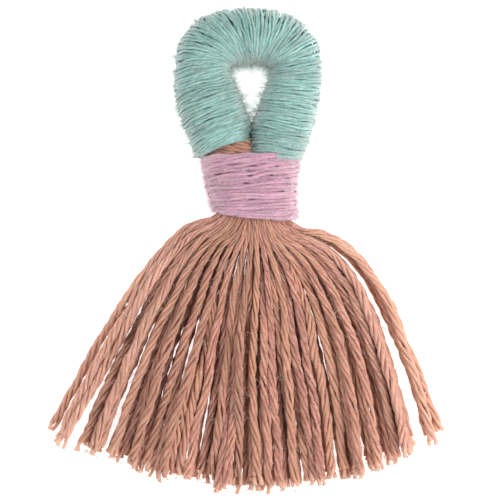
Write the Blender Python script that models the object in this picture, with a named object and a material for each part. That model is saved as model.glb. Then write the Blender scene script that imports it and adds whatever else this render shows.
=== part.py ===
"""A cotton tassel lying on its back, modelled at real size.

The skirt is a bundle of cut yarn strands that fan out towards -Y from a core.
A whipping of yarn binds the core at the neck, and a yarn-wrapped loop with an eye reaches towards +Y.
Everything is in metres with +Z up, and the finished part stands on z = 0 with its box centred there.
"""

import math

import bmesh
import bpy
import numpy as np
from mathutils import Vector

MM = 0.001
SHARP_ANGLE = math.radians(50.0)    # edges sharper than this stay crisp
EVEN_SAMPLES = 600          # places at which a table's side lengths are measured

# Loop: a row for each section, from the oblique left end over the crown to the right end (millimetres).
# eye_x and eye_y are on the eye's side of the tube, and rim_x and rim_y on its outer side.
LOOP_COLUMNS = ("eye_x", "eye_y", "rim_x", "rim_y")
LOOP_SECTIONS = (
    (-0.2, 9.4, -10.9, 6.5),
    (-0.2, 12.3, -12.6, 10.2),
    (-1.1, 16.2, -14.3, 14.6),
    (-2.3, 20.0, -15.2, 19.2),
    (-3.7, 23.2, -15.1, 24.2),
    (-3.2, 24.4, -13.3, 29.4),
    (-1.7, 24.6, -8.2, 34.0),
    (0.0, 24.6, -0.2, 35.8),
    (1.7, 24.6, 7.8, 34.2),
    (3.2, 24.4, 12.9, 29.4),
    (3.7, 23.2, 14.5, 24.0),
    (2.8, 20.0, 14.2, 18.8),
    (1.6, 16.2, 13.4, 14.4),
    (0.2, 12.0, 12.2, 10.0),
    (0.2, 6.3, 10.3, 6.2),
)
LOOP_TURNS = 41             # turns of the wrapping yarn
LOOP_SIDES = 16
LOOP_THICK = 10.8 * MM      # height of the tube's oval
GROOVE = 0.35 * MM          # depth of the furrow between two turns
SINK = 0.8 * MM             # how much of each oval's underside is flattened to rest

# Neck whipping: the two ends of its upper and lower edge lines, left and right.
BAND_COLUMNS = ("left_x", "left_y", "right_x", "right_y")
BAND_EDGES = (
    (-9.9, 5.9, 9.8, 5.7),
    (-8.9, 0.3, 9.2, -0.5),
    (-7.5, -4.4, 9.4, -6.4),
)
BAND_TURNS = 7
BAND_SIDES = 24
BAND_THICK = 11.2 * MM
BAND_WALL = 1.5 * MM
BAND_SQUARENESS = 0.85      # powers under 1 square an oval up
BORE_SQUARENESS = 0.7
BORE_CENTRE_Z = 5.1 * MM
BORE_HALF_THICK = 3.7 * MM

# Core: a row for each section, from the fringe roots up to the oblique stub beside the loop (millimetres).
# bulge is how far the middle of a section reaches past its sides, towards the skirt.
CORE_COLUMNS = ("left_x", "left_y", "right_x", "right_y", "half_thick", "bulge")
CORE_SECTIONS = (
    (-8.7, -5.9, 10.5, -7.7, 3.9, 3.4),
    (-5.9, -5.0, 7.8, -7.0, 3.4, 0.9),
    (-5.7, -4.3, 7.6, -6.2, 3.4, 0.0),
    (-8.0, 5.2, 7.9, 5.0, 3.4, 0.0),
    (-8.0, 6.0, -0.9, 6.0, 3.3, 0.0),
    (-8.6, 6.7, -1.0, 8.85, 3.3, 0.0),
)

CORE_ROUNDNESS = 0.45       # 0 leaves the sections square, and 0.5 makes them ovals
CORE_ASPECT = 0.4           # height of a section beside its width, while the core is laid out flat

# Skirt strands
ROWS = 5                    # strands above one another at the neck
COLUMNS = 18                # strands side by side at the neck
STEPS = 8                   # lengths that each strand is built in
STEP_POWER = 1.5            # above 1 the lengths are shorter near the neck, where the strands bend
MIDDLE_LENGTH = 49.5 * MM   # of a strand down the middle
SIDE_LENGTH = {"left": 54.8 * MM, "right": 53.2 * MM}
LENGTH_POWER = 3.0          # above 1 keeps the long strands to the sides
LENGTH_SPREAD = 2.4 * MM
ROOT_INSET = 0.018          # margin round each strand's root, as a share of the flat grid
ROOT_RADIUS = 0.33 * MM     # pressed together under the whipping
FREE_RADIUS = 0.88 * MM     # out in the open
OPENING_LENGTH = 30.0 * MM  # the strands swell to their free radius over this length
DROP_LENGTH = 16.0 * MM     # and drop from the neck to the surface over this one
STRAND_CLEARANCE = 0.06 * MM
TOP_ROW_SHARE = 0.88        # width of the top row's fan beside the bottom row's
TOP_ROW_POWER = 1.4         # above 1 keeps the middle rows nearly as wide as the bottom one
NARROW_FROM = 0.5           # the upper rows draw in only this far out from the middle
STAGGER = (0.0, 0.4, -0.2, 0.2, -0.4)   # of a column, for each row from the surface up
UNEVENNESS = 0.1            # of a column, by which a strand strays
TURN_STEPS = 2.0            # joints in which a strand's square root turns on to a corner
SWAY = math.radians(2.5)    # how far the locks swing off the fan's lines
SWAY_LOCKS = 6.4            # larger makes more locks across the fan
SWAY_FADE = 3.0             # larger carries the sway further out to the sides
ROW_SHIFT = 1.1             # keeps the partings of one row off those of the next
SAMPLES = 96                # places along a strand where its height over the others is worked out
SEED = 11
JOINTS = [round(SAMPLES * (step / STEPS) ** STEP_POWER) for step in range(STEPS + 1)]

# Fan: headings of the outermost strand of each side, in degrees from straight down the skirt.
# It leaves its root at the start heading, flares to tip + flare, and the flare fades over a share of the
# length, while it straightens steadily.
FAN_COLUMNS = ("start", "tip", "flare", "fade", "straighten")
FAN = {"left": (66.0, 31.4, 64.5, 0.087, 11.4), "right": (40.0, 15.0, 88.0, 0.225, 0.0)}
FAN_START = 0.03            # share of the length in which a strand turns from its start heading
# Partings: clear places between locks, by their place across the fan from -1 at the left to 1 at the right.
PARTINGS = ((-0.875, 0.050), (0.750, 0.050), (0.905, 0.060))
PARTING_REACH = 0.06

TEAL = (0.283, 0.456, 0.418, 1.0)
PINK = (0.597, 0.342, 0.423, 1.0)
BROWN = (0.423, 0.191, 0.130, 1.0)


def clear_scene():
    for thing in list(bpy.data.objects):
        bpy.data.objects.remove(thing, do_unlink=True)


def yarn_material(name, colour):
    material = bpy.data.materials.new(name)
    material.use_nodes = True
    shader = material.node_tree.nodes["Principled BSDF"]
    shader.inputs["Base Color"].default_value = colour
    shader.inputs["Roughness"].default_value = 0.9
    shader.inputs["Metallic"].default_value = 0.0
    material.diffuse_color = colour
    return material


def finish_object(name, bm, material):
    bmesh.ops.recalc_face_normals(bm, faces=bm.faces)
    mesh = bpy.data.meshes.new(name)
    bm.to_mesh(mesh)
    bm.free()
    mesh.shade_smooth()
    mesh.set_sharp_from_angle(angle=SHARP_ANGLE)
    mesh.materials.append(material)
    thing = bpy.data.objects.new(name, mesh)
    bpy.context.collection.objects.link(thing)
    return thing


def smooth_step(value):
    share = min(max(value, 0.0), 1.0)
    return share * share * (3.0 - 2.0 * share)


def smooth_row(rows, place):
    """The row at a place from 0 to 1 along a table, on a smooth curve through its rows."""
    table = np.array(rows, dtype=float)
    at = min(max(place, 0.0), 1.0) * (len(table) - 1)
    index = min(int(at), len(table) - 2)
    share = at - index
    before = table[max(index - 1, 0)]
    start = table[index]
    end = table[index + 1]
    after = table[min(index + 2, len(table) - 1)]
    leave = (end - before) / 2.0
    arrive = (after - start) / 2.0
    cubic = 2.0 * start - 2.0 * end + leave + arrive
    square = 3.0 * end - 3.0 * start - 2.0 * leave - arrive
    return ((cubic * share + square) * share + leave) * share + start


def even_places(rows, count):
    """Places that share a table's mean side length evenly, so that turns lie side by side."""
    fine = np.linspace(0.0, 1.0, EVEN_SAMPLES)
    points = np.array([smooth_row(rows, place)[:4] for place in fine])
    steps = np.diff(points, axis=0)
    lengths = np.hypot(steps[:, 0], steps[:, 1]) + np.hypot(steps[:, 2], steps[:, 3])
    travelled = np.concatenate([[0.0], np.cumsum(lengths)])
    return np.interp(np.linspace(0.0, travelled[-1], count), travelled, fine)


def oval_ring(side_a, side_b, half_thick, centre_z, inset, sides, squareness=1.0):
    """Points of an upright oval between two side points, with its underside flattened at z = 0."""
    middle = (side_a + side_b) / 2.0
    reach = (side_b - side_a) / 2.0
    shrink = 1.0 - inset / reach.length
    ring = []
    for index in range(sides):
        angle = 2.0 * math.pi * index / sides
        across = math.copysign(abs(math.cos(angle)) ** squareness, math.cos(angle))
        up = math.copysign(abs(math.sin(angle)) ** squareness, math.sin(angle))
        point = middle + reach * (across * shrink)
        height = centre_z + (half_thick - inset) * up
        ring.append(Vector((point.x, point.y, max(height, 0.0))))
    return ring


def extrude_ring(bm, face, corners, points):
    """Extrudes a face to the points, in the order of its corners. Returns the new face and corners."""
    places = [vert.co.to_tuple() for vert in corners]
    face = bmesh.ops.extrude_discrete_faces(bm, faces=[face])["faces"][0]
    corners = sorted(face.verts, key=lambda vert: places.index(vert.co.to_tuple()))
    for vert, point in zip(corners, points):
        vert.co = point
    return face, corners


def skin_rings(bm, rings, closed=False):
    """One skin over the rings in turn. Its ends are capped, or joined to each other when it is closed."""
    corners = bmesh.ops.create_circle(bm, segments=len(rings[0]), radius=1.0, cap_ends=True)["verts"]
    face = corners[0].link_faces[0]
    start_edges = list(face.edges)
    for vert, point in zip(corners, rings[0]):
        vert.co = point
    for ring in rings[1:]:
        face, corners = extrude_ring(bm, face, corners, ring)
    if closed:
        end_edges = list(face.edges)
        bmesh.ops.delete(bm, geom=[face], context="FACES_ONLY")
        bmesh.ops.bridge_loops(bm, edges=start_edges + end_edges)
    else:
        bmesh.ops.contextual_create(bm, geom=start_edges)


def build_loop(material):
    """The tube of wrapped turns, bent round the eye, with a crest and a furrow for each turn."""
    rings = []
    for number, place in enumerate(even_places(LOOP_SECTIONS, 2 * LOOP_TURNS + 1)):
        row = dict(zip(LOOP_COLUMNS, smooth_row(LOOP_SECTIONS, place) * MM))
        eye_side = Vector((row["eye_x"], row["eye_y"], 0.0))
        rim_side = Vector((row["rim_x"], row["rim_y"], 0.0))
        inset = GROOVE if number % 2 == 0 else 0.0
        half_thick = LOOP_THICK / 2.0
        rings.append(oval_ring(eye_side, rim_side, half_thick, half_thick - SINK, inset, LOOP_SIDES))
    bm = bmesh.new()
    skin_rings(bm, rings)
    return finish_object("loop_wrap", bm, material)


def build_band(material):
    """The whipping: a sleeve of parallel turns round the core, with a flat underside."""
    stations = 2 * BAND_TURNS + 1
    rings = []
    half_thick = BAND_THICK / 2.0
    for number in range(stations):
        row = dict(zip(BAND_COLUMNS, smooth_row(BAND_EDGES, number / (stations - 1)) * MM))
        left = Vector((row["left_x"], row["left_y"], 0.0))
        right = Vector((row["right_x"], row["right_y"], 0.0))
        inset = GROOVE if number % 2 == 0 else 0.0
        centre_z = half_thick - SINK
        rings.append(oval_ring(left, right, half_thick, centre_z, inset, BAND_SIDES, BAND_SQUARENESS))
    for edge in (BAND_EDGES[-1], BAND_EDGES[0]):
        row = dict(zip(BAND_COLUMNS, (value * MM for value in edge)))
        left = Vector((row["left_x"] + BAND_WALL, row["left_y"], 0.0))
        right = Vector((row["right_x"] - BAND_WALL, row["right_y"], 0.0))
        rings.append(oval_ring(left, right, BORE_HALF_THICK, BORE_CENTRE_Z, 0.0, BAND_SIDES, BORE_SQUARENESS))
    bm = bmesh.new()
    skin_rings(bm, rings, closed=True)
    return finish_object("neck_wrap", bm, material)


def core_point(across, up, section):
    """A point of the core, from its place across and up the rounded section of that number."""
    row = dict(zip(CORE_COLUMNS, CORE_SECTIONS[section]))
    round_across = across * math.sqrt(1.0 - CORE_ROUNDNESS * up * up)
    round_up = up * math.sqrt(1.0 - CORE_ROUNDNESS * across * across)
    share = (round_across + 1.0) / 2.0
    x = row["left_x"] + (row["right_x"] - row["left_x"]) * share
    y = row["left_y"] + (row["right_y"] - row["left_y"]) * share
    y -= row["bulge"] * (1.0 - round_across ** 2)
    return Vector((x * MM, y * MM, BORE_CENTRE_Z + row["half_thick"] * MM * round_up))


def fan_heading(place, share):
    """Heading in radians at a share of the length, of the strand at a place across the fan."""
    row = dict(zip(FAN_COLUMNS, FAN["left" if place < 0.0 else "right"]))
    degrees = row["tip"] + row["flare"] * math.exp(-share / row["fade"]) - row["straighten"] * (share - 0.5)
    turned = smooth_step(share / FAN_START)
    return math.radians((row["start"] * (1.0 - turned) + degrees * turned) * place)


def part_from(place):
    """A place across the fan, pushed out of the partings between the locks."""
    pushed = place
    for parting, half_width in PARTINGS:
        away = place - parting
        pushed += math.copysign(half_width * math.exp(-abs(away) / PARTING_REACH), away)
    return pushed


def strand_radius(distance):
    return ROOT_RADIUS + (FREE_RADIUS - ROOT_RADIUS) * smooth_step(distance / OPENING_LENGTH)


def strand_course(root, place, row, length):
    """The strand's plan course from its root: x, y and the distance travelled, at even samples."""
    sway = SWAY * math.sin(SWAY_LOCKS * place + ROW_SHIFT * row) * max(1.0 - abs(place) ** SWAY_FADE, 0.0)
    x = root.x
    y = root.y
    step = length / SAMPLES
    course = [(x, y, 0.0)]
    for index in range(SAMPLES):
        share = (index + 0.5) / SAMPLES
        heading = fan_heading(place, share)
        heading += sway * math.sin(2.0 * math.pi * share)
        x += step * math.sin(heading)
        y -= step * math.cos(heading)
        course.append((x, y, step * (index + 1)))
    return np.array(course)


def lay_on_pile(course, root_height, pile):
    """Heights of the strand's joints: on the surface, or as high as the strands under it ask."""
    distance = course[:, 2]
    radius = np.array([strand_radius(value) for value in distance])
    drop = np.array([1.0 - smooth_step(value / DROP_LENGTH) for value in distance])
    need = np.maximum(radius, root_height * drop)
    apart = np.hypot(course[:, None, 0] - pile[:, 0], course[:, None, 1] - pile[:, 1])
    reach = radius[:, None] + pile[:, 3] + STRAND_CLEARANCE
    lift = np.sqrt(np.maximum(reach ** 2 - apart ** 2, 0.0))
    over = np.where(lift > 0.0, pile[:, 2] + lift, 0.0)
    need = np.maximum(need, over.max(axis=1, initial=0.0))
    heights = need[JOINTS]
    heights[0] = root_height
    for number in range(STEPS):
        start = JOINTS[number]
        end = JOINTS[number + 1]
        straight = np.linspace(heights[number], heights[number + 1], end - start + 1)
        short = max((need[start:end + 1] - straight).max(), 0.0)
        heights[number + 1] += short
        if number > 0:
            heights[number] += short
    return heights, radius


def laying_order(root):
    """Row upon row from the surface up, and in a row every other strand first."""
    return root["row"], root["column"] % 2, root["column"]


def strand_courses(roots):
    """Every strand's joints as (centre, radius), for the roots in their laying order."""
    chance = np.random.default_rng(SEED)
    pile = np.empty((0, 4))
    strands = []
    for root in roots:
        column = root["column"] + STAGGER[root["row"]]
        column += UNEVENNESS * chance.uniform(-1.0, 1.0)
        across = (2.0 * column - COLUMNS + 1.0) / (COLUMNS - 1.0)
        narrowing = (1.0 - TOP_ROW_SHARE) * (root["row"] / (ROWS - 1)) ** TOP_ROW_POWER
        narrowing *= smooth_step((abs(across) - NARROW_FROM) / (1.0 - NARROW_FROM))
        place = part_from(across * (1.0 - narrowing))
        side = SIDE_LENGTH["left" if place < 0.0 else "right"]
        length = MIDDLE_LENGTH + (side - MIDDLE_LENGTH) * abs(place) ** LENGTH_POWER
        length += LENGTH_SPREAD * chance.uniform(-0.5, 0.5)
        course = strand_course(root["centre"], place, root["row"], length)
        heights, radius = lay_on_pile(course, root["centre"].z, pile)
        levels = np.interp(np.arange(SAMPLES + 1), JOINTS, heights)
        pile = np.vstack([pile, np.column_stack([course[:, :2], levels, radius])])
        strand = [(Vector((course[at, 0], course[at, 1], levels[at])), radius[at]) for at in JOINTS]
        strands.append(strand)
    return strands


def grow_strand(bm, face, strand):
    """Extrudes a root face along the strand's joints, turning its square on to a corner."""
    root = strand[0][0]
    corners = sorted(face.verts, key=lambda vert: math.atan2(vert.co.z - root.z, vert.co.x - root.x))
    for number in range(1, len(strand)):
        centre, radius = strand[number]
        before = strand[number - 1][0]
        after = strand[min(number + 1, len(strand) - 1)][0]
        along = (after - before).normalized()
        side = Vector((0.0, 0.0, 1.0)).cross(along).normalized()
        up = along.cross(side)
        turn = math.pi / 4.0 * smooth_step(number / TURN_STEPS)
        points = []
        for quarter in range(4):
            angle = math.pi / 2.0 * quarter - math.pi * 0.75 + turn
            points.append(centre + (side * math.cos(angle) + up * math.sin(angle)) * radius)
        face, corners = extrude_ring(bm, face, corners, points)


def row_and_column(face):
    """Sorts the faces of the flat grid row by row."""
    middle = face.calc_center_median()
    return round(middle.y, 3), middle.x


def build_skirt(material):
    """The core in the neck, its stub beside the loop, and the strands that grow out of its lower face."""
    bm = bmesh.new()
    bmesh.ops.create_grid(bm, x_segments=COLUMNS, y_segments=ROWS, size=1.0)
    bmesh.ops.scale(bm, verts=bm.verts, vec=(1.0, CORE_ASPECT, 1.0))
    root_faces = sorted(bm.faces, key=row_and_column)
    bmesh.ops.inset_individual(bm, faces=root_faces, thickness=ROOT_INSET)
    edges = [edge for edge in bm.edges if edge.is_boundary]
    for _ in CORE_SECTIONS[1:]:
        added = bmesh.ops.extrude_edge_only(bm, edges=edges)["geom"]
        verts = [item for item in added if isinstance(item, bmesh.types.BMVert)]
        edges = [item for item in added if isinstance(item, bmesh.types.BMEdge)]
        bmesh.ops.translate(bm, verts=verts, vec=(0.0, 0.0, 1.0))
    bmesh.ops.contextual_create(bm, geom=edges)
    for vert in bm.verts:
        vert.co = core_point(vert.co.x, vert.co.y / CORE_ASPECT, round(vert.co.z))
    roots = []
    for number, face in enumerate(root_faces):
        row, column = divmod(number, COLUMNS)
        roots.append({"row": row, "column": column, "centre": face.calc_center_median(), "face": face})
    roots.sort(key=laying_order)
    for root, strand in zip(roots, strand_courses(roots)):
        grow_strand(bm, root["face"], strand)
    return finish_object("skirt", bm, material)


def stand_on_origin(pieces):
    """Parents the pieces to an empty that puts the bottom centre of their box on the origin."""
    corners = np.array([vert.co for piece in pieces for vert in piece.data.vertices])
    low = corners.min(axis=0)
    high = corners.max(axis=0)
    frame = bpy.data.objects.new("tassel_frame", None)
    bpy.context.collection.objects.link(frame)
    frame.location = (-(low[0] + high[0]) / 2.0, -(low[1] + high[1]) / 2.0, -low[2])
    for piece in pieces:
        piece.parent = frame


def main():
    clear_scene()
    pieces = [
        build_loop(yarn_material("teal_yarn", TEAL)),
        build_band(yarn_material("pink_yarn", PINK)),
        build_skirt(yarn_material("brown_yarn", BROWN)),
    ]
    stand_on_origin(pieces)


main()
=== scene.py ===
"""Cotton yarn tassel: the finished yarns, their materials, and a plain studio round them."""
import math

import bmesh
import bpy
import numpy as np
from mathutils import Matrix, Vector


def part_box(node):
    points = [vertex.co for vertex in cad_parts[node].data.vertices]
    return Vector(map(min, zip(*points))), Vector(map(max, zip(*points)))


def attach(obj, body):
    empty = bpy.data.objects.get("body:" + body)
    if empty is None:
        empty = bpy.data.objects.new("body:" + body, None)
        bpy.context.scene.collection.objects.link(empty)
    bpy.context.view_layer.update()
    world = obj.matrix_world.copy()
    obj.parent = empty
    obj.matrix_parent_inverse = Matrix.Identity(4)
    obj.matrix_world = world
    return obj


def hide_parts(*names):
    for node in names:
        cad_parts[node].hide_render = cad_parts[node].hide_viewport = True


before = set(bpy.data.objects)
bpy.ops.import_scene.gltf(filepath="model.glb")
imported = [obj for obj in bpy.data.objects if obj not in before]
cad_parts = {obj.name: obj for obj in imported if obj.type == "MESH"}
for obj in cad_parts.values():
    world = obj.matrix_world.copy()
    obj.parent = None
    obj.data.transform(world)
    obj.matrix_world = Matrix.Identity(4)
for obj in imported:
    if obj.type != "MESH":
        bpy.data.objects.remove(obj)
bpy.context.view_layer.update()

MM = 0.001
PLY_SIDES = 6               # of a ply's tube
HAIR_SIDES = 3

# The layout puts the origin at the middle of the neck and counts in millimetres. The whipping's low corner
# ties it to the model.
NECK_LOW = (-9.8131, -6.4, 0.0)
LAYOUT_ORIGIN = np.array(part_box("neck_wrap")[0]) / MM - np.array(NECK_LOW)

# ---------------------------------------------------------------- sizes, in millimetres

# Skirt's yarn
PLIES = 4
YARN_RADIUS = 0.92          # of the whole yarn
PLY_ORBIT = 0.55            # of the plies round the middle of their yarn
PLY_RADIUS = 0.40
TWIST_LENGTH = 12.0         # of one full turn of the plies
TWIST_WITH_LEAN = 0.8       # share of the yarns whose plies lean the way that the yarn does
TWIST_SPREAD = (0.85, 1.2)  # shortest and longest twist, beside the usual one

# How the plies of any yarn vary: the step along the yarn, and the amount.
TWIST_NOISE = (6.0, 0.5)
PLY_TURN_NOISE = (3.5, 0.3)
SWELL_NOISE = (1.4, 0.22)
WANDER_NOISE = (2.4, 0.26)
HUE_NOISE = (5.0, 0.35)
TONE_NOISE = (1.8, 0.30)
PLY_TONE_SPREAD = 0.2
PLY_HUE_SPREAD = 0.35
FIBRE_TURN = 0.9            # of the fibres round their ply, in radians a millimetre
LOOSE_END = 4.0             # length of the cut end in which the plies spread
STREAK_SHIFT = 31.7         # along the fibres, from one ply to the next

# Loop: a row for each station along the wrapped tube, from the left leg's foot over the top to the right's.
LOOP_SECTIONS = (
    (-0.1, 8.6, -10.9, 6.3),
    (0.5, 12.3, -12.6, 10.2),
    (-0.9, 16.2, -14.3, 14.6),
    (-2.3, 20.0, -15.2, 19.2),
    (-3.7, 23.2, -15.1, 24.2),
    (-3.2, 24.4, -13.9, 29.8),
    (-1.7, 24.6, -8.8, 34.7),
    (0.0, 24.6, -0.2, 36.1),
    (1.7, 24.6, 8.1, 34.7),
    (3.2, 24.4, 13.3, 29.7),
    (3.7, 23.2, 14.5, 24.0),
    (2.8, 20.0, 14.2, 18.8),
    (1.5, 16.2, 13.4, 14.4),
    (-0.1, 12.3, 12.3, 10.2),
    (0.0, 9.2, 11.3, 7.9),
    (-0.5, 6.4, 10.4, 5.8),
)
LOOP_TURNS = 41
LOOP_LEAN = 0.6             # of a turn, by which the legs' turns ride up beside the eye
LOOP_THICK = 10.8
FOOT_BOW = 0.9              # how far the left foot's last turns bow up at their middle
FOOT_BOW_TURNS = 4.0
SINK = 0.8                  # how far the undersides are pressed flat

# Whipping: a row for each of its edges and its waist, from the loop down to the skirt.
BAND_EDGES = (
    (-10.0, 6.1, 10.1, 5.9),
    (-8.9, 0.3, 9.5, -0.5),
    (-7.5, -4.4, 9.6, -6.4),
)
BAND_TURNS = 8
BAND_THICK = 11.2
BAND_SQUARENESS = 0.85
BAND_ARCH = (0.5, -0.5)     # how far the top and bottom turns bow up at their middle

# Yarns of the two windings: plies, reach of the plies to the sides as a share of the pitch, half the yarn's
# height, how far a turn strays along as a share of the pitch, how far it rises over its neighbours, and the
# y under which the two legs of the loop meet.
NO_SEAM = -math.inf
LOOP_YARN = {
    "plies": 6, "width_share": 0.45, "half_height": 0.21, "ply_radius": 0.30, "twist_length": 34.0,
    "stray": 0.14, "rise": 0.09, "seam_top": 14.5,
}
NECK_YARN = {
    "plies": 5, "width_share": 0.45, "half_height": 0.15, "ply_radius": 0.36, "twist_length": 40.0,
    "stray": 0.08, "rise": 0.04, "seam_top": NO_SEAM,
}

LOOP_TURN_POINTS = 44
NECK_TURN_POINTS = 72
STRAY_STEP = 0.9            # of a turn, between two random strays
RISE_STEP = 0.7
TURN_TONE_NOISE = (1.0, 0.35)
SEAM_HALF_WIDTH = 2.4
SEAM_FADE = (1.6, 3.0)      # across and up the seam
SEAM_PAINTED_SHADE = 1.1            # painted shade: the legs' winding is darkened in the hollow where they meet
SEAM_BARE = 0.9             # share of the hairs that are missing there
RIM_FROM = 0.62             # from the middle to the side of the tube, where a painted sheen turns the winding pale
RIM_FADE = 0.38
# painted sheen: how far the winding's sides are mixed towards the pale colour
RIM_PAINTED_SHEEN = 0.6
TOP_HAIRS = 0.3             # hairs on top of the tube, beside those that its sides have more

# Fillings under the windings: how deep they lie, and how many cuts divide them into rings.
LOOP_FILLING = (1.25, 80)
NECK_FILLING = (1.3, 16)
STUB_FILLING = (0.4, 8)
FILLING_SIDES = 32
FILLING_STREAKS = (1.5, 4.0)    # stretch of the streaks along and around
# tone, hue and paleness of the fillings: a low tone, a painted shade for a body that shows only deep
# between the turns
FILLING_CAST = (0.1, 0.3, 0.0)

# Core of the bundle: a row for each section, from where the skirt's yarns leave it up into the neck.
# bulge is how far the middle of a section reaches past its sides, towards the skirt.
CORE_COLUMNS = ("left_x", "left_y", "right_x", "right_y", "half_thick", "bulge")
CORE_SECTIONS = (
    (-8.7, -5.9, 10.5, -7.7, 3.9, 3.4),
    (-5.9, -5.0, 7.8, -7.0, 3.4, 0.9),
    (-5.7, -4.3, 7.6, -6.2, 3.4, 0.0),
    (-8.0, 5.2, 7.9, 5.0, 3.4, 0.0),
)
CORE_ROUNDNESS = 0.45
CORE_MIDDLE_Z = 5.1
THROAT_SHARES = (0.55, 0.45)    # of the last two sections, where the yarns begin

# Stub: the bundle's own yarns, folded over and bare between the neck and the loop's left leg.
STUB_RINGS = (
    (-7.6, 11.6, 0.9, 10.6),
    (-8.0, 8.6, 0.9, 7.2),
    (-8.0, 5.0, 0.9, 3.4),
)
STUB_TURNS = 5
STUB_THICK = 5.6
STUB_DROP = 1.0             # of its middle under the core's
STUB_SQUARENESS = 0.8
STUB_YARNS = 6
STUB_YARN_SIZE = 0.80       # beside the free size
STUB_POINTS = 26
STUB_SPAN = (-7.9, 1.6)     # the first yarn's ends, from left to right
STUB_START = (-7.0, 11.9)   # a place on the first yarn
STUB_STEP = (-0.175, -1.25)     # from one yarn to the next
STUB_SLOPE = -0.42          # the yarns fall to the right
STUB_TOP = 6.9
STUB_CROWN = -4.0           # x of the yarns' highest place
STUB_ARCH = 0.07
STUB_SWAY = (3.0, 0.25)     # step and amount of the random sway in plan
STUB_RISE = (3.0, 0.35)
STUB_TONES = (0.3, 1.0)
STUB_PALE = 0.1

# Skirt
ROWS = 5
COLUMNS = 18
MIDDLE_LENGTH = 49.5
SIDE_LENGTH = {"left": 54.8, "right": 53.2}
LENGTH_POWER = 3.0          # above 1 keeps the long yarns to the sides
LENGTH_SPREAD = 2.4
FRAY_LENGTH = 0.8           # by which a frayed end reaches past the cut
NECK_YARN_SHARE = 0.62      # size of a yarn pressed together in the neck, beside its free size
OPENING_LENGTH = 26.0
DROP_LENGTH = 16.0
SETTLE_LENGTH = 5.0         # in which a yarn goes from its root's height to the pile's
PILE_NEAR = 3               # samples to each side whose height a yarn also keeps to
PILE_BLUR = 5
PRESS = 0.84                # how far apart two yarns that cross lie, beside their radii together
TOP_ROW_SHARE = 0.88        # width of the top row's fan beside the bottom row's
TOP_ROW_POWER = 1.4
NARROW_FROM = 0.5           # the upper rows draw in only this far out from the middle
STAGGER = (0.0, 0.4, -0.2, 0.2, -0.4)   # of a column, for each row from the floor up
UNEVENNESS = 0.1            # of a column
SWAY = math.radians(2.5)
SWAY_LOCKS = 6.4
SWAY_FADE = 3.0
ROW_SHIFT = 1.1
WAVER = math.radians(4.0)   # each yarn's own wandering
WAVER_STEP = 7.0
WAVER_GROWTH = 3.0          # the wandering is full after one third of the length
COURSE_SAMPLES = 96
YARN_POINTS = 68
SKIRT_PARTS = 3             # pieces that its yarns are shared out among
SEED = 11
WAVER_SEED = 395

FAN_COLUMNS = ("start", "tip", "flare", "fade", "straighten")
FAN = {"left": (66.0, 31.4, 64.5, 0.087, 11.4), "right": (40.0, 15.0, 88.0, 0.225, 0.0)}
FAN_START = 0.03
PARTINGS = ((-0.875, 0.050), (0.750, 0.050), (0.905, 0.046))
PARTING_REACH = 0.06

KINK = 0.16                 # small sideways kinks of a yarn
KINK_STEP = 3.2
KINK_LIFT = 0.7             # kinks up and down, beside those to the sides
KINK_FREE = 20.0            # length in which a yarn comes free of its neighbours
TONES = (0.15, 0.85)
EDGE_FROM = 0.60            # place across the fan where its edge, with its painted backlight, begins
EDGE_FADE = 0.35
# painted backlight: the fan's edge yarns are lighter and paler, for the light table shining through them
EDGE_BACKLIGHT_TONE = 0.3
EDGE_BACKLIGHT_PALE = 0.35
EDGE_LENGTH = 24.0
RIGHT_FROM = 0.15           # painted light: the yarns to the right of this are lighter, on the side the key light comes from
RIGHT_FADE = 0.4
RIGHT_PAINTED_LIGHT = 0.45
TIP_PALE = 0.55
TIP_LENGTH = 2.5
TIP_SPREAD = 0.3            # of the plies at the cut end, beside their usual orbit

# Hairs: how many stand on each part, their mean length, and how far they stray from straight out.
LOOP_HAIRS = (13500, 1.05, 0.5)
NECK_HAIRS = (7500, 0.8, 0.5)
SKIRT_HAIRS = (14000, 0.85, 0.40)
HAIR_POINTS = 3
HAIR_RADIUS = 0.032
HAIR_TAPER = np.array([1.0, 0.85, 0.4])
HAIR_DEPTH = 0.15           # of the root under the skin
HAIR_LEAN = 0.6             # along the yarn
HAIR_CURL = 0.45
HAIR_LENGTHS = (0.3, 2.6)   # shortest and longest, beside the mean
HAIR_LIFT = 0.05            # least height over the floor
SKIN_DEPTH = 0.5            # step inwards that tells which way is out
YARN_ROOTS = 60             # places on each of the skirt's yarns that hairs may grow from
YARN_ROOTS_FROM = 4         # the first of a yarn's points that has any
TIP_ROOTS = 14              # more of them, at its cut end

chance = np.random.default_rng(SEED)
layout_chance = np.random.default_rng(SEED)
waver_chance = np.random.default_rng(WAVER_SEED)


# ---------------------------------------------------------------- camera, floor and lights

VIEW_MIDDLE = LAYOUT_ORIGIN + np.array([0.0, -12.4, 0.0])
VIEW_HEIGHT = 505.0
LENS = 180.0
SENSOR = 36.0
FLOOR_REACH = 1.5           # metres from the middle to a side
FLOOR_GLOW = 0.9
FLOOR_WHITES = (0.88, 0.92)
SKY = 0.42


def set_camera():
    """Straight above the tassel, framing a hundred millimetres."""
    data = bpy.data.cameras.new("camera")
    data.lens = LENS
    data.sensor_width = SENSOR
    camera = bpy.data.objects.new("camera", data)
    bpy.context.scene.collection.objects.link(camera)
    camera.location = Vector((VIEW_MIDDLE[0], VIEW_MIDDLE[1], VIEW_HEIGHT)) * MM
    bpy.context.scene.camera = camera


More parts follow.
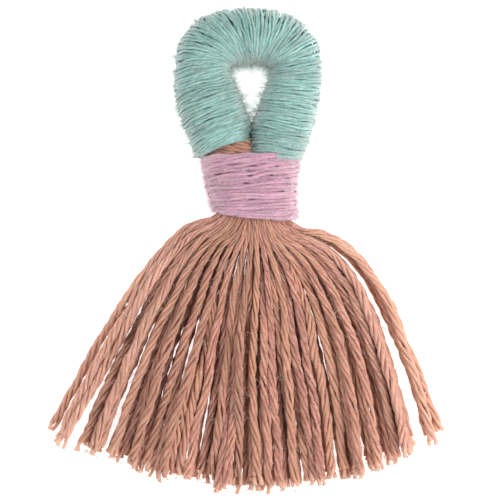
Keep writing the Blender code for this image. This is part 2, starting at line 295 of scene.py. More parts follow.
def floor_material():
    """White and softly lit from within, as a light table is."""
    material = bpy.data.materials.new("light_table")
    material.use_nodes = True
    nodes = material.node_tree.nodes
    links = material.node_tree.links
    shader = nodes["Principled BSDF"]
    shader.inputs["Roughness"].default_value = 0.9
    shader.inputs["Emission Strength"].default_value = FLOOR_GLOW
    grain = nodes.new("ShaderNodeTexNoise")
    grain.inputs["Scale"].default_value = 40.0
    place = nodes.new("ShaderNodeTexCoord")
    links.new(place.outputs["Object"], grain.inputs["Vector"])
    tone = nodes.new("ShaderNodeValToRGB")
    for element, white in zip(tone.color_ramp.elements, FLOOR_WHITES):
        element.color = (white, white, white, 1.0)
    links.new(grain.outputs["Fac"], tone.inputs["Fac"])
    links.new(tone.outputs["Color"], shader.inputs["Base Color"])
    links.new(tone.outputs["Color"], shader.inputs["Emission Color"])
    return material


def lay_floor():
    bm = bmesh.new()
    bmesh.ops.create_grid(bm, x_segments=8, y_segments=8, size=FLOOR_REACH)
    mesh = bpy.data.meshes.new("floor")
    bm.to_mesh(mesh)
    bm.free()
    mesh.materials.append(floor_material())
    floor = bpy.data.objects.new("floor", mesh)
    bpy.context.scene.collection.objects.link(floor)


# Softboxes that face the origin: place and side in metres, and power in watts.
SOFTBOX_COLUMNS = ("name", "place", "side", "power")
SOFTBOXES = (
    ("key", (0.46, 0.10, 0.66), 0.5, 4.3),
    ("fill", (-0.50, 0.10, 0.60), 0.6, 2.4),
    ("low", (0.55, -0.45, 0.35), 0.5, 3.0),
)


def hang_lights():
    for entry in SOFTBOXES:
        row = dict(zip(SOFTBOX_COLUMNS, entry))
        data = bpy.data.lights.new(row["name"], "AREA")
        data.shape = "SQUARE"
        data.size = row["side"]
        data.energy = row["power"]
        light = bpy.data.objects.new(row["name"], data)
        bpy.context.scene.collection.objects.link(light)
        light.location = row["place"]
        light.rotation_euler = (-Vector(row["place"])).to_track_quat("-Z", "Y").to_euler()
    world = bpy.data.worlds.new("studio")
    world.use_nodes = True
    background = world.node_tree.nodes["Background"]
    background.inputs["Color"].default_value = (1.0, 1.0, 1.0, 1.0)
    background.inputs["Strength"].default_value = SKY
    bpy.context.scene.world = world
    bpy.context.scene.view_settings.view_transform = "Standard"


# ---------------------------------------------------------------- yarn materials

def group_socket(group, name, kind, way, value=None):
    socket = group.interface.new_socket(name=name, in_out=way, socket_type=kind)
    if value is not None:
        socket.default_value = value


def make_streak_group():
    """Fibre streaks that run along a ply: the broad ones, the fine ones, and the height of both."""
    group = bpy.data.node_groups.new("fibre_streaks", "ShaderNodeTree")
    group_socket(group, "Place", "NodeSocketVector", "INPUT")
    group_socket(group, "Broad width", "NodeSocketFloat", "INPUT", 0.22)
    group_socket(group, "Fine width", "NodeSocketFloat", "INPUT", 0.08)
    group_socket(group, "Broad length", "NodeSocketFloat", "INPUT", 1.6)
    group_socket(group, "Fine length", "NodeSocketFloat", "INPUT", 1.0)
    group_socket(group, "Broad", "NodeSocketFloat", "OUTPUT")
    group_socket(group, "Fine", "NodeSocketFloat", "OUTPUT")
    group_socket(group, "Height", "NodeSocketFloat", "OUTPUT")
    nodes = group.nodes
    links = group.links
    entry = nodes.new("NodeGroupInput")
    leave = nodes.new("NodeGroupOutput")
    noises = {}
    for kind, detail in (("Broad", 2.0), ("Fine", 3.0)):
        size = nodes.new("ShaderNodeCombineXYZ")
        links.new(entry.outputs[kind + " length"], size.inputs["X"])
        links.new(entry.outputs[kind + " width"], size.inputs["Y"])
        links.new(entry.outputs[kind + " width"], size.inputs["Z"])
        divide = nodes.new("ShaderNodeVectorMath")
        divide.operation = "DIVIDE"
        links.new(entry.outputs["Place"], divide.inputs[0])
        links.new(size.outputs["Vector"], divide.inputs[1])
        noise = nodes.new("ShaderNodeTexNoise")
        noise.inputs["Scale"].default_value = 1.0
        noise.inputs["Detail"].default_value = detail
        noise.inputs["Roughness"].default_value = 0.6
        links.new(divide.outputs["Vector"], noise.inputs["Vector"])
        links.new(noise.outputs["Fac"], leave.inputs[kind])
        noises[kind] = noise
    height = nodes.new("ShaderNodeMath")
    height.operation = "MULTIPLY_ADD"
    height.inputs[1].default_value = 0.6
    links.new(noises["Fine"].outputs["Fac"], height.inputs[0])
    links.new(noises["Broad"].outputs["Fac"], height.inputs[2])
    links.new(height.outputs["Value"], leave.inputs["Height"])
    return group


def mix_colours(nodes, links, mode, factor, first, second):
    """A colour mix whose factor, first and second are each a socket or a plain value."""
    mix = nodes.new("ShaderNodeMix")
    mix.data_type = "RGBA"
    mix.blend_type = mode
    mix.clamp_factor = True
    for socket, value in ((mix.inputs[0], factor), (mix.inputs[6], first), (mix.inputs[7], second)):
        if isinstance(value, bpy.types.NodeSocket):
            links.new(value, socket)
        else:
            socket.default_value = value
    return mix.outputs[2]


def map_range(nodes, links, value, low, high, to_low, to_high):
    node = nodes.new("ShaderNodeMapRange")
    node.inputs["From Min"].default_value = low
    node.inputs["From Max"].default_value = high
    node.inputs["To Min"].default_value = to_low
    node.inputs["To Max"].default_value = to_high
    links.new(value, node.inputs["Value"])
    return node.outputs["Result"]


def grey(nodes, links, value):
    """A value as a grey."""
    node = nodes.new("ShaderNodeCombineXYZ")
    for axis in ("X", "Y", "Z"):
        links.new(value, node.inputs[axis])
    return node.outputs["Vector"]


def yarn_material(streaks, name, dark, middle, light, other_hue, pale, glow, spread):
    """Matt spun cotton. Streaks run with the fibres, and each ply has its own tone, hue and paleness; the
    tone also carries painted shade and painted light, and the paleness painted sheen and backlight.
    """
    material = bpy.data.materials.new(name)
    material.use_nodes = True
    nodes = material.node_tree.nodes
    links = material.node_tree.links
    shader = nodes["Principled BSDF"]
    shader.inputs["Metallic"].default_value = 0.0
    shader.inputs["Specular IOR Level"].default_value = 0.15
    shader.inputs["Sheen Weight"].default_value = 0.15
    shader.inputs["Sheen Roughness"].default_value = 0.45
    shader.inputs["Sheen Tint"].default_value = (1.0, 0.97, 0.94, 1.0)
    shader.inputs["Subsurface Weight"].default_value = 0.35
    shader.inputs["Subsurface Radius"].default_value = glow
    shader.inputs["Subsurface Scale"].default_value = 0.8 * MM

    place = nodes.new("ShaderNodeAttribute")
    place.attribute_name = "fibre_place"
    cast = nodes.new("ShaderNodeAttribute")
    cast.attribute_name = "ply_cast"
    parts = nodes.new("ShaderNodeSeparateXYZ")
    links.new(cast.outputs["Vector"], parts.inputs["Vector"])
    fibres = nodes.new("ShaderNodeGroup")
    fibres.node_tree = streaks
    links.new(place.outputs["Vector"], fibres.inputs["Place"])

    ramp = nodes.new("ShaderNodeValToRGB")
    ramp.color_ramp.elements[0].position = 0.34
    ramp.color_ramp.elements[0].color = dark
    ramp.color_ramp.elements[1].position = 0.68
    ramp.color_ramp.elements[1].color = light
    middle_stop = ramp.color_ramp.elements.new(0.5)
    middle_stop.color = middle
    links.new(fibres.outputs["Broad"], ramp.inputs["Fac"])
    hue_share = map_range(nodes, links, parts.outputs["Y"], 0.0, 1.0, 0.0, 0.75)
    colour = mix_colours(nodes, links, "MIX", hue_share, ramp.outputs["Color"], other_hue)
    fine_share = map_range(nodes, links, fibres.outputs["Fine"], 0.35, 0.75, 0.80, 1.12)
    colour = mix_colours(nodes, links, "MULTIPLY", 1.0, colour, grey(nodes, links, fine_share))
    # tones under 0 carry the painted seam shade, which darkens the plies past their own range
    darkest = 1.0 - spread * 2.6
    lightest = 1.0 + spread * 0.6
    tone = map_range(nodes, links, parts.outputs["X"], -1.0, 1.0, darkest, lightest)
    colour = mix_colours(nodes, links, "MULTIPLY", 1.0, colour, grey(nodes, links, tone))
    # paleness: painted sheen on the windings' sides and painted backlight at the fan's edges, and the
    # frayed cut ends
    pale_share = map_range(nodes, links, parts.outputs["Z"], 0.0, 1.0, 0.0, 0.9)
    colour = mix_colours(nodes, links, "MIX", pale_share, colour, pale)
    links.new(colour, shader.inputs["Base Color"])

    roughness = map_range(nodes, links, fibres.outputs["Fine"], 0.3, 0.7, 0.95, 0.72)
    links.new(roughness, shader.inputs["Roughness"])
    bump = nodes.new("ShaderNodeBump")
    bump.inputs["Strength"].default_value = 0.8
    bump.inputs["Distance"].default_value = 0.06 * MM
    links.new(fibres.outputs["Height"], bump.inputs["Height"])
    links.new(bump.outputs["Normal"], shader.inputs["Normal"])
    return material


# How far light spreads in each cotton, by colour.
TEAL_GLOW = (0.5, 0.9, 0.8)
PINK_GLOW = (1.0, 0.5, 0.6)
BROWN_GLOW = (1.0, 0.45, 0.3)

# Cottons: name, the streaks' dark, middle and light colours, the hue that some plies lean to, the pale
# colour that plies are mixed towards (painted sheen on the windings' sides, painted backlight at the fan's
# edges, and the frayed cut ends), how far light spreads in it, and how much the plies' tones vary.
COTTONS = (
    ("teal_cotton", (0.18, 0.37, 0.34, 1.0), (0.30, 0.525, 0.49, 1.0), (0.47, 0.68, 0.64, 1.0),
     (0.36, 0.52, 0.47, 1.0), (0.58, 0.68, 0.64, 1.0), TEAL_GLOW, 0.24),
    ("pink_cotton", (0.50, 0.25, 0.35, 1.0), (0.64, 0.355, 0.46, 1.0), (0.76, 0.49, 0.59, 1.0),
     (0.71, 0.42, 0.50, 1.0), (0.82, 0.56, 0.65, 1.0), PINK_GLOW, 0.2),
    ("brown_cotton", (0.33, 0.13, 0.105, 1.0), (0.53, 0.25, 0.195, 1.0), (0.71, 0.42, 0.34, 1.0),
     (0.58, 0.315, 0.205, 1.0), (0.90, 0.58, 0.44, 1.0), BROWN_GLOW, 0.24),
    ("teal_fuzz", (0.40, 0.55, 0.50, 1.0), (0.52, 0.66, 0.62, 1.0), (0.66, 0.77, 0.73, 1.0),
     (0.60, 0.64, 0.60, 1.0), (0.72, 0.76, 0.73, 1.0), TEAL_GLOW, 0.28),
    ("pink_fuzz", (0.72, 0.44, 0.53, 1.0), (0.82, 0.54, 0.63, 1.0), (0.90, 0.66, 0.74, 1.0),
     (0.86, 0.60, 0.66, 1.0), (0.92, 0.72, 0.79, 1.0), PINK_GLOW, 0.28),
    ("brown_fuzz", (0.62, 0.35, 0.26, 1.0), (0.78, 0.48, 0.37, 1.0), (0.92, 0.65, 0.53, 1.0),
     (0.84, 0.54, 0.38, 1.0), (0.95, 0.76, 0.66, 1.0), BROWN_GLOW, 0.28),
)


# ---------------------------------------------------------------- yarn geometry

def smooth_step(value):
    share = np.clip(value, 0.0, 1.0)
    return share * share * (3.0 - 2.0 * share)


def smooth_rows(table, places):
    """Rows at places from 0 to 1 along a table, on a smooth curve through its rows."""
    rows = np.array(table, dtype=float)
    at = np.clip(np.asarray(places, dtype=float), 0.0, 1.0) * (len(rows) - 1)
    index = np.minimum(at.astype(int), len(rows) - 2)
    share = (at - index)[..., None]
    before = rows[np.maximum(index - 1, 0)]
    start = rows[index]
    end = rows[index + 1]
    after = rows[np.minimum(index + 2, len(rows) - 1)]
    leave = (end - before) / 2.0
    arrive = (after - start) / 2.0
    cubic = 2.0 * start - 2.0 * end + leave + arrive
    square = 3.0 * end - 3.0 * start - 2.0 * leave - arrive
    return ((cubic * share + square) * share + leave) * share + start


def even_places(table, count):
    """Places that share a table's mean side length evenly, so that turns lie side by side."""
    fine = np.linspace(0.0, 1.0, 600)
    points = smooth_rows(table, fine)[:, :4]
    steps = np.diff(points, axis=0)
    lengths = np.hypot(steps[:, 0], steps[:, 1]) + np.hypot(steps[:, 2], steps[:, 3])
    travelled = np.concatenate([[0.0], np.cumsum(lengths)])
    return np.interp(np.linspace(0.0, travelled[-1], count), travelled, fine)


def travelled_along(points):
    steps = np.linalg.norm(np.diff(points, axis=0), axis=1)
    return np.concatenate([[0.0], np.cumsum(steps)])


def unit(vectors):
    return vectors / np.maximum(np.linalg.norm(vectors, axis=-1, keepdims=True), 1e-9)


def slow_noise(places, step, amount, source=chance):
    """A smooth random value along places: a new random height every step."""
    knots = np.arange(places.min() - step, places.max() + 2.0 * step, step)
    heights = source.uniform(-amount, amount, len(knots))
    at = (places - knots[0]) / step
    index = at.astype(int)
    share = smooth_step(at - index)
    return heights[index] * (1.0 - share) + heights[index + 1] * share


def paint_fibres(mesh, fibre_place, ply_cast):
    """The two point attributes that the cotton materials read."""
    for label, values in (("fibre_place", fibre_place), ("ply_cast", ply_cast)):
        layer = mesh.attributes.new(label, "FLOAT_VECTOR", "POINT")
        layer.data.foreach_set("vector", values.astype(np.float32).ravel())


def finish_piece(name, mesh, material, nodes):
    mesh.materials.clear()
    mesh.materials.append(material)
    piece = bpy.data.objects.new(name, mesh)
    bpy.context.scene.collection.objects.link(piece)
    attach(piece, "root")
    if nodes:
        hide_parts(*nodes)


def hair_section():
    """A triangle that hairs are swept with."""
    section = bpy.data.curves.new("hair_section", "CURVE")
    spline = section.splines.new("POLY")
    spline.points.add(HAIR_SIDES - 1)
    spline.use_cyclic_u = True
    for index, point in enumerate(spline.points):
        angle = 2.0 * math.pi * index / HAIR_SIDES
        point.co = (math.cos(angle), math.sin(angle), 0.0, 1.0)
    holder = bpy.data.objects.new("hair_section", section)
    bpy.context.scene.collection.objects.link(holder)
    return holder


def sweep_tubes(name, courses, sides, material, nodes=()):
    """One closed tube for each course of points, radii and cast, all in one piece."""
    curve = bpy.data.curves.new(name, "CURVE")
    curve.dimensions = "3D"
    if sides == HAIR_SIDES:
        curve.bevel_mode = "OBJECT"
        curve.bevel_object = hair_section()
    else:
        curve.bevel_depth = 1.0
        curve.bevel_resolution = (sides - 4) // 2
    for course in courses:
        points = (course["points"] + LAYOUT_ORIGIN) * MM
        spline = curve.splines.new("POLY")
        spline.points.add(len(points) - 1)
        spline.points.foreach_set("co", np.column_stack([points, np.ones(len(points))]).ravel())
        spline.points.foreach_set("radius", course["radius"] * MM)
    holder = bpy.data.objects.new(name + "_course", curve)
    bpy.context.scene.collection.objects.link(holder)
    bpy.context.view_layer.update()
    mesh = bpy.data.meshes.new_from_object(holder.evaluated_get(bpy.context.evaluated_depsgraph_get()))
    if curve.bevel_object:
        bpy.data.objects.remove(curve.bevel_object)
    bpy.data.objects.remove(holder)
    fibre_place = []
    ply_cast = []
    around = 2.0 * math.pi * np.arange(sides) / sides
    for number, course in enumerate(courses):
        along = travelled_along(course["points"])
        angle = around[None, :] + along[:, None] * course.get("fibre_turn", 0.0)
        radius = course["radius"][:, None]
        place = np.stack([
            np.broadcast_to(along[:, None] + STREAK_SHIFT * number, angle.shape),
            radius * np.cos(angle),
            radius * np.sin(angle),
        ], axis=-1)
        fibre_place.append(place.reshape(-1, 3))
        ply_cast.append(np.repeat(course["cast"], sides, axis=0))
    paint_fibres(mesh, np.concatenate(fibre_place), np.concatenate(ply_cast))
    bm = bmesh.new()
    bm.from_mesh(mesh)
    bmesh.ops.holes_fill(bm, edges=[edge for edge in bm.edges if edge.is_boundary], sides=sides)
    bmesh.ops.recalc_face_normals(bm, faces=bm.faces)
    bm.to_mesh(mesh)
    bm.free()
    mesh.shade_smooth()
    finish_piece(name, mesh, material, nodes)


def twist_plies(path, side, up, plies, half_width, half_height, ply_radius, twist_length, tone, pale,
                spread_ends=0.0, shade=0.0):
    """The plies of a yarn, twisted round its path."""
    along = travelled_along(path)
    start = chance.uniform(0.0, 2.0 * math.pi)
    turn = start + 2.0 * math.pi * along / twist_length + slow_noise(along, *TWIST_NOISE)
    hue = chance.uniform(0.0, 1.0)
    end = smooth_step((along - along[-1] + LOOSE_END) / LOOSE_END) * spread_ends
    courses = []
    for ply in range(plies):
        angle = turn + 2.0 * math.pi * ply / plies + slow_noise(along, *PLY_TURN_NOISE)
        swell = 1.0 + slow_noise(along, *SWELL_NOISE)
        wander = 1.0 + end + slow_noise(along, *WANDER_NOISE)
        offset = side * (np.cos(angle) * half_width * wander)[:, None]
        offset += up * (np.sin(angle) * half_height * wander)[:, None]
        radius = ply_radius * swell
        ply_tone = np.clip(tone + chance.uniform(-PLY_TONE_SPREAD, PLY_TONE_SPREAD), 0.0, 1.0)
        ply_hue = np.clip(hue + chance.uniform(-PLY_HUE_SPREAD, PLY_HUE_SPREAD), 0.0, 1.0)
        hues = np.clip(ply_hue + slow_noise(along, *HUE_NOISE), 0.0, 1.0)
        # painted shade: shade lowers the tones where the plies lie in a hollow
        tones = np.clip(ply_tone + slow_noise(along, *TONE_NOISE), 0.0, 1.0) - shade
        points = path + offset
        points[:, 2] = np.maximum(points[:, 2], radius)
        kept = len(path) - (chance.integers(0, 3) if spread_ends else 0)
        courses.append({
            "points": points[:kept],
            "radius": radius[:kept],
            "cast": np.column_stack([tones, hues, np.broadcast_to(pale, len(path))])[:kept],
            "fibre_turn": FIBRE_TURN,
        })
    return courses


def wind_yarn(surface, turns, points_per_turn, yarn):
    """Plies of one yarn wound over surface(turn, angle, inset), and the places that its hairs grow from."""
    count = turns * points_per_turn + 1
    turn = np.linspace(0.0, turns, count)
    angle = 2.0 * math.pi * turn - math.pi / 2.0
    moved = np.clip(turn + slow_noise(turn, STRAY_STEP, yarn["stray"]), 0.0, turns)
    inset = yarn["half_height"] + yarn["ply_radius"] + slow_noise(turn, RISE_STEP, yarn["rise"])
    path = surface(moved, angle, inset)
    ahead = np.minimum(moved + 0.5, turns)
    behind = np.maximum(moved - 0.5, 0.0)
    lateral = (surface(ahead, angle, inset) - surface(behind, angle, inset)) / (ahead - behind)[:, None]
    pitch = np.linalg.norm(lateral, axis=1)
    side = unit(lateral)
    along = unit(np.gradient(path, axis=0))
    up = unit(np.cross(side, along))
    tone = 0.5 + slow_noise(turn, *TURN_TONE_NOISE)
    # painted shade: the winding darkens in the hollow where the loop's legs meet; fewer hairs grow there
    seam = smooth_step((SEAM_HALF_WIDTH - np.abs(path[:, 0])) / SEAM_FADE[0])
    seam *= smooth_step((yarn["seam_top"] - path[:, 1]) / SEAM_FADE[1])
    # painted sheen: the plies turn paler towards the tube's sides, where light grazes them
    pale = RIM_PAINTED_SHEEN * smooth_step((np.abs(np.cos(angle)) - RIM_FROM) / RIM_FADE) * (1.0 - seam)
    plies = twist_plies(
        path, side, up, yarn["plies"], pitch * yarn["width_share"], yarn["half_height"], yarn["ply_radius"],
        yarn["twist_length"], tone, pale, shade=SEAM_PAINTED_SHADE * seam)
    outward = unit(surface(moved, angle, inset - SKIN_DEPTH) - path)
    skin = path + outward * yarn["half_height"] + side * (pitch * chance.uniform(-0.5, 0.5, count))[:, None]
    weight = (TOP_HAIRS + np.cos(angle) ** 4) * (1.0 - SEAM_BARE * seam)
    return plies, {"points": skin, "outward": outward, "along": along, "weight": weight}


def grow_hairs(roots, count, reach, stray):
    """Courses of loose fibre ends that stand off a yarn's skin and curl as they go."""
    index = chance.choice(len(roots["points"]), count, p=roots["weight"] / roots["weight"].sum())
    heading = roots["outward"][index] + stray * chance.normal(size=(count, 3))
    heading = unit(heading + roots["along"][index] * chance.normal(0.0, HAIR_LEAN, (count, 1)))
    length = reach * np.clip(chance.exponential(1.0, (count, 1)), *HAIR_LENGTHS)
    place = roots["points"][index] - heading * HAIR_DEPTH
    places = [place]
    for _ in range(HAIR_POINTS - 1):
        place = place + heading * length / (HAIR_POINTS - 1)
        heading = unit(heading + HAIR_CURL * chance.normal(size=(count, 3)))
        places.append(place)
    hairs = np.stack(places, axis=1)
    hairs[:, :, 2] = np.maximum(hairs[:, :, 2], HAIR_LIFT)
    courses = []
    for hair in hairs:
        cast = np.broadcast_to(chance.uniform(0.0, 1.0, 3), (HAIR_POINTS, 3))
        courses.append({"points": hair, "radius": HAIR_RADIUS * HAIR_TAPER, "cast": cast})
    return courses


def skirt_skin(yarns):
    """Places on the skirt's yarns that hairs grow from, with more of them at the cut ends."""
    points = []
    outward = []
    along = []
    for yarn in yarns:
        path = yarn["path"]
        heading = unit(np.gradient(path, axis=0))
        index = chance.integers(YARN_ROOTS_FROM, len(path), YARN_ROOTS)
        perpendicular = unit(np.cross(heading[index], chance.normal(size=(YARN_ROOTS, 3))))
        points.append(path[index] + perpendicular * (yarn["size"][index] * YARN_RADIUS)[:, None])
        outward.append(perpendicular)
        along.append(heading[index])
        perpendicular = unit(np.cross(heading[-1], chance.normal(size=(TIP_ROOTS, 3))))
        points.append(path[-1] + perpendicular * YARN_RADIUS * chance.uniform(0.0, 0.9, (TIP_ROOTS, 1)))
        outward.append(perpendicular * 0.5 + heading[-1])
        along.append(np.repeat(heading[-1:], TIP_ROOTS, axis=0))
    points = np.concatenate(points)
    return {
        "points": points,
        "outward": np.concatenate(outward),
        "along": np.concatenate(along),
        "weight": np.ones(len(points)),
    }


def oval_points(rows, half_thick, middle_z, angle, inset, squareness):
    """Points of upright ovals from rows of their left and right sides, pressed flat on the floor."""
    left = rows[:, :2]
    right = rows[:, 2:]
    middle = (left + right) / 2.0
    reach = (right - left) / 2.0
    shrink = 1.0 - inset / np.linalg.norm(reach, axis=1)
    across = np.sign(np.cos(angle)) * np.abs(np.cos(angle)) ** squareness
    high = np.sign(np.sin(angle)) * np.abs(np.sin(angle)) ** squareness
    plan = middle + reach * (across * shrink)[:, None]
    height = np.maximum(middle_z + (half_thick - inset) * high, inset)
    return np.column_stack([plan, height]), across


loop_places = even_places(LOOP_SECTIONS, LOOP_TURNS + 1)


def loop_surface(turn, angle, inset):
    lean = LOOP_LEAN * np.cos(math.pi * turn / LOOP_TURNS) * np.cos(angle)
    rows = smooth_rows(LOOP_SECTIONS, np.interp(turn - lean, np.arange(LOOP_TURNS + 1), loop_places))
    half_thick = LOOP_THICK / 2.0
    points, across = oval_points(rows, half_thick, half_thick - SINK, angle, inset, 1.0)
    points[:, 1] += FOOT_BOW * np.clip(1.0 - turn / FOOT_BOW_TURNS, 0.0, 1.0) * (1.0 - across ** 2)
    return points


def band_surface(turn, angle, inset):
    share = turn / BAND_TURNS
    rows = smooth_rows(BAND_EDGES, share)
    half_thick = BAND_THICK / 2.0
    points, across = oval_points(rows, half_thick, half_thick - SINK, angle, inset, BAND_SQUARENESS)
    arch = BAND_ARCH[0] + (BAND_ARCH[1] - BAND_ARCH[0]) * share
    points[:, 1] += arch * (1.0 - across ** 2)
    return points


def stub_surface(turn, angle, inset):
    rows = smooth_rows(STUB_RINGS, turn / STUB_TURNS)
    middle_z = CORE_MIDDLE_Z - STUB_DROP
    return oval_points(rows, STUB_THICK / 2.0, middle_z, angle, inset, STUB_SQUARENESS)[0]


def stub_plies():
    """The skirt's yarns where they are folded over inside the loop, side by side and aslant."""
    courses = []
    for number in range(STUB_YARNS):
        x = np.linspace(*STUB_SPAN, STUB_POINTS) + STUB_STEP[0] * number
        fall = STUB_SLOPE * (x - STUB_START[0])
        y = STUB_START[1] + STUB_STEP[1] * number + fall + slow_noise(x, *STUB_SWAY)
        z = STUB_TOP - STUB_ARCH * (x - STUB_CROWN) ** 2 + slow_noise(x, *STUB_RISE)
        path = np.column_stack([x, y, z])
        along = unit(np.gradient(path, axis=0))
        side = unit(np.cross(np.array([0.0, 0.0, 1.0]), along))
        size = np.full(len(path), STUB_YARN_SIZE)
        courses += twist_plies(
            path, side, np.cross(along, side), PLIES, PLY_ORBIT * size, PLY_ORBIT * size, PLY_RADIUS * size,
            -TWIST_LENGTH, chance.uniform(*STUB_TONES), STUB_PALE)
    return courses


def fill_under(name, surface, turns, inset, cuts, material, slot):
    """The solid body under a winding: a capped tube, cut into rings and laid on the winding's surface."""
    bm = bmesh.new()
    bmesh.ops.create_cone(bm, cap_ends=True, segments=FILLING_SIDES, radius1=1.0, radius2=1.0, depth=2.0)
    upright = [edge for edge in bm.edges if abs(edge.verts[0].co.z - edge.verts[1].co.z) > 1.0]
    bmesh.ops.subdivide_edges(bm, edges=upright, cuts=cuts)
    turn = np.array([(vert.co.z + 1.0) / 2.0 * turns for vert in bm.verts])
    angle = np.array([math.atan2(vert.co.y, vert.co.x) for vert in bm.verts])
    places = (surface(turn, angle, np.full(len(turn), inset)) + LAYOUT_ORIGIN) * MM
    for vert, place in zip(bm.verts, places):
        vert.co = place
    bmesh.ops.recalc_face_normals(bm, faces=bm.faces)
    mesh = bpy.data.meshes.new(name)
    bm.to_mesh(mesh)
    bm.free()
    mesh.shade_smooth()
    stretch_along, stretch_around = FILLING_STREAKS
    fibre_place = np.column_stack([
        turn * stretch_along, np.cos(angle) * stretch_around, np.sin(angle) * stretch_around])
    paint_fibres(mesh, fibre_place, np.tile(FILLING_CAST, (len(turn), 1)))
    finish_piece(name, mesh, material, ())


# ---------------------------------------------------------------- skirt

def core_point(across, up, section):
    """A point of the core, from its place across and up the rounded section of that number."""
    row = dict(zip(CORE_COLUMNS, CORE_SECTIONS[section]))
    round_across = across * math.sqrt(1.0 - CORE_ROUNDNESS * up * up)
    round_up = up * math.sqrt(1.0 - CORE_ROUNDNESS * across * across)
    share = (round_across + 1.0) / 2.0
    x = row["left_x"] + (row["right_x"] - row["left_x"]) * share
    y = row["left_y"] + (row["right_y"] - row["left_y"]) * share
    y -= row["bulge"] * (1.0 - round_across ** 2)
    return np.array([x, y, CORE_MIDDLE_Z + row["half_thick"] * round_up])


def fan_heading(place, share):
    """Headings in radians at shares of the length, of the yarn at a place across the fan."""
    row = dict(zip(FAN_COLUMNS, FAN["left" if place < 0.0 else "right"]))
    degrees = row["tip"] + row["flare"] * np.exp(-share / row["fade"]) - row["straighten"] * (share - 0.5)
    turned = smooth_step(share / FAN_START)
    return np.radians((row["start"] * (1.0 - turned) + degrees * turned) * place)


def part_from(place):
    """A place across the fan, pushed out of the partings between the locks."""
    pushed = place
    for parting, half_width in PARTINGS:
        away = place - parting
        pushed += math.copysign(half_width * math.exp(-abs(away) / PARTING_REACH), away)
    return pushed


def yarn_size(distance):
    """Size of a yarn beside its free size, at distances from its root."""
    return NECK_YARN_SHARE + (1.0 - NECK_YARN_SHARE) * smooth_step(distance / OPENING_LENGTH)


def plan_course(root, place, row, length):
    """The yarn's plan course from its root: x, y and the distance travelled."""
    step = length / COURSE_SAMPLES
    share = (np.arange(COURSE_SAMPLES) + 0.5) / COURSE_SAMPLES
    heading = fan_heading(place, share)
    sway = SWAY * math.sin(SWAY_LOCKS * place + ROW_SHIFT * row) * max(1.0 - abs(place) ** SWAY_FADE, 0.0)
    heading += sway * np.sin(2.0 * math.pi * share)
    waver = slow_noise(share * length, WAVER_STEP, WAVER, waver_chance)
    heading += waver * smooth_step(share * WAVER_GROWTH)
    x = root[0] + np.concatenate([[0.0], np.cumsum(step * np.sin(heading))])
    y = root[1] - np.concatenate([[0.0], np.cumsum(step * np.cos(heading))])
    return np.column_stack([x, y, step * np.arange(COURSE_SAMPLES + 1)])


def blur(values, reach):
    """Weighted running mean over reach samples to each side, with the ends held."""
    padded = np.concatenate([np.full(reach, values[0]), values, np.full(reach, values[-1])])
    kernel = np.hanning(2 * reach + 3)[1:-1]
    return np.convolve(padded, kernel / kernel.sum(), mode="valid")


def highest_near(values, reach):
    """The highest value within reach samples to each side."""
    padded = np.concatenate([np.full(reach, values[0]), values, np.full(reach, values[-1])])
    return np.max([padded[shift:shift + len(values)] for shift in range(2 * reach + 1)], axis=0)


def lay_on_pile(course, root_height, pile):
    """Heights along a course: on the floor, or as high as the yarns under it ask, on a soft line."""
    distance = course[:, 2]
    radius = YARN_RADIUS * yarn_size(distance)
    drop = 1.0 - smooth_step(distance / DROP_LENGTH)
    need = np.maximum(radius, root_height * drop)
    apart = np.hypot(course[:, None, 0] - pile[:, 0], course[:, None, 1] - pile[:, 1])
    reach = (radius[:, None] + pile[:, 3]) * PRESS
    lift = np.sqrt(np.maximum(reach ** 2 - apart ** 2, 0.0))
    over = np.where(lift > 0.0, pile[:, 2] + lift, 0.0)
    need = np.maximum(need, over.max(axis=1, initial=0.0))
    heights = blur(highest_near(need, PILE_NEAR), PILE_BLUR)
    start = smooth_step(distance / SETTLE_LENGTH)
    return root_height * (1.0 - start) + heights * start, radius


def skirt_yarns():
    """Path and size of every yarn of the skirt, from inside the neck to its cut end."""
    cells = []
    for row in range(ROWS):
        for column in range(COLUMNS):
            cells.append((row, column % 2, column))
    pile = np.empty((0, 4))
    yarns = []
    for row, _, column in sorted(cells):
        moved = column + STAGGER[row] + UNEVENNESS * layout_chance.uniform(-1.0, 1.0)
        across = (2.0 * moved - COLUMNS + 1.0) / (COLUMNS - 1.0)
        narrowing = (1.0 - TOP_ROW_SHARE) * (row / (ROWS - 1)) ** TOP_ROW_POWER
        narrowing *= smooth_step((abs(across) - NARROW_FROM) / (1.0 - NARROW_FROM))
        place = part_from(across * (1.0 - narrowing))
        side = SIDE_LENGTH["left" if place < 0.0 else "right"]
        length = MIDDLE_LENGTH + (side - MIDDLE_LENGTH) * abs(place) ** LENGTH_POWER
        length += LENGTH_SPREAD * layout_chance.uniform(-0.5, 0.5) + FRAY_LENGTH
        cell_across = (2.0 * column + 1.0) / COLUMNS - 1.0
        cell_up = (2.0 * row + 1.0) / ROWS - 1.0
        root = core_point(cell_across, cell_up, 0)
        course = plan_course(root, place, row, length)
        heights, radius = lay_on_pile(course, root[2], pile)
        pile = np.vstack([pile, np.column_stack([course[:, :2], heights, radius])])
        throat = core_point(cell_across, cell_up, 2) * THROAT_SHARES[0]
        throat += core_point(cell_across, cell_up, 3) * THROAT_SHARES[1]
        mouth = core_point(cell_across, cell_up, 1)
        lead = np.array([throat, mouth * 0.5 + throat * 0.5, mouth])
        points = np.vstack([lead, np.column_stack([course[:, :2], heights])])
        size = np.concatenate([np.full(3, NECK_YARN_SHARE), radius / YARN_RADIUS])
        along = travelled_along(points)
        even = np.linspace(0.0, along[-1], YARN_POINTS)
        path = np.column_stack([np.interp(even, along, points[:, axis]) for axis in range(3)])
        for axis in range(3):
            path[1:-1, axis] = (path[:-2, axis] + 2.0 * path[1:-1, axis] + path[2:, axis]) / 4.0
        yarns.append({"path": path, "size": np.interp(even, along, size), "place": place})
    return yarns


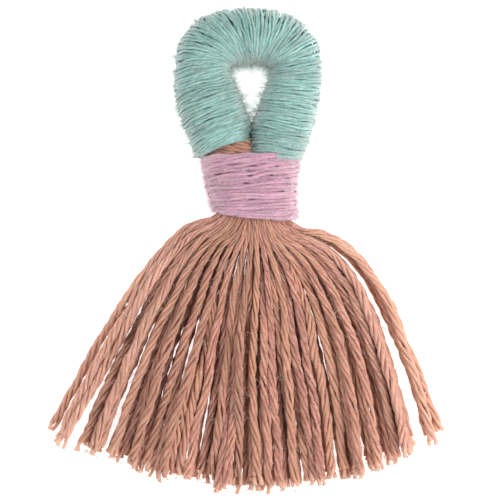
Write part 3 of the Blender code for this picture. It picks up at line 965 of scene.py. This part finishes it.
def skirt_plies(yarns):
    """Courses of every ply of the skirt: a painted backlight makes the fan's edges lighter and paler, a
    painted light makes its right side lighter, and the cut ends are paler.
    """
    courses = []
    for yarn in yarns:
        path = yarn["path"].copy()
        along = unit(np.gradient(path, axis=0))
        side = unit(np.cross(np.array([0.0, 0.0, 1.0]), along))
        up = np.cross(along, side)
        travelled = travelled_along(path)
        loose = smooth_step(travelled / KINK_FREE)
        path += side * (slow_noise(travelled, KINK_STEP, KINK) * loose)[:, None]
        path += up * (slow_noise(travelled, KINK_STEP, KINK * KINK_LIFT) * loose)[:, None]
        size = yarn["size"]
        # painted backlight: the yarns at the fan's edges are lighter and paler, for the light table shining
        # through them
        edge = smooth_step((abs(yarn["place"]) - EDGE_FROM) / EDGE_FADE)
        tone = chance.uniform(*TONES) + EDGE_BACKLIGHT_TONE * edge
        # painted light: the yarns on the right are lighter, on the key light's side
        tone += RIGHT_PAINTED_LIGHT * smooth_step((yarn["place"] - RIGHT_FROM) / RIGHT_FADE)
        pale = TIP_PALE * smooth_step((travelled - travelled[-1] + TIP_LENGTH) / TIP_LENGTH)
        pale = np.clip(pale + EDGE_BACKLIGHT_PALE * edge * smooth_step(travelled / EDGE_LENGTH), 0.0, 1.0)
        lean = -1.0 if yarn["place"] > 0.0 else 1.0
        if chance.uniform() > TWIST_WITH_LEAN:
            lean = -lean
        courses += twist_plies(
            path, side, up, PLIES, PLY_ORBIT * size, PLY_ORBIT * size, PLY_RADIUS * size,
            TWIST_LENGTH * lean * chance.uniform(*TWIST_SPREAD), tone, pale, TIP_SPREAD)
    return courses


# ---------------------------------------------------------------- making

set_camera()
lay_floor()
hang_lights()

streaks = make_streak_group()
cottons = {row[0]: yarn_material(streaks, *row) for row in COTTONS}

loop_plies, loop_skin = wind_yarn(loop_surface, LOOP_TURNS, LOOP_TURN_POINTS, LOOP_YARN)
fill_under("loop_filling", loop_surface, LOOP_TURNS, *LOOP_FILLING, cottons["teal_cotton"], "teal_yarn")
sweep_tubes("loop_winding", loop_plies, PLY_SIDES, cottons["teal_cotton"], ("loop_wrap",))
sweep_tubes("loop_fuzz", grow_hairs(loop_skin, *LOOP_HAIRS), HAIR_SIDES, cottons["teal_fuzz"])

neck_plies, neck_skin = wind_yarn(band_surface, BAND_TURNS, NECK_TURN_POINTS, NECK_YARN)
fill_under("neck_filling", band_surface, BAND_TURNS, *NECK_FILLING, cottons["pink_cotton"], "pink_yarn")
sweep_tubes("neck_winding", neck_plies, PLY_SIDES, cottons["pink_cotton"], ("neck_wrap",))
sweep_tubes("neck_fuzz", grow_hairs(neck_skin, *NECK_HAIRS), HAIR_SIDES, cottons["pink_fuzz"])

fill_under("stub_filling", stub_surface, STUB_TURNS, *STUB_FILLING, cottons["brown_cotton"], "brown_yarn")
sweep_tubes("stub_yarns", stub_plies(), PLY_SIDES, cottons["brown_cotton"])

yarns = skirt_yarns()
skirt_courses = skirt_plies(yarns)
per_part = math.ceil(len(yarns) / SKIRT_PARTS) * PLIES
for part in range(SKIRT_PARTS):
    sweep_tubes(
        "skirt_yarns_%d" % (part + 1), skirt_courses[part * per_part:(part + 1) * per_part], PLY_SIDES,
        cottons["brown_cotton"], ("skirt",))
skirt_fuzz = grow_hairs(skirt_skin(yarns), *SKIRT_HAIRS)
sweep_tubes("skirt_fuzz", skirt_fuzz, HAIR_SIDES, cottons["brown_fuzz"])
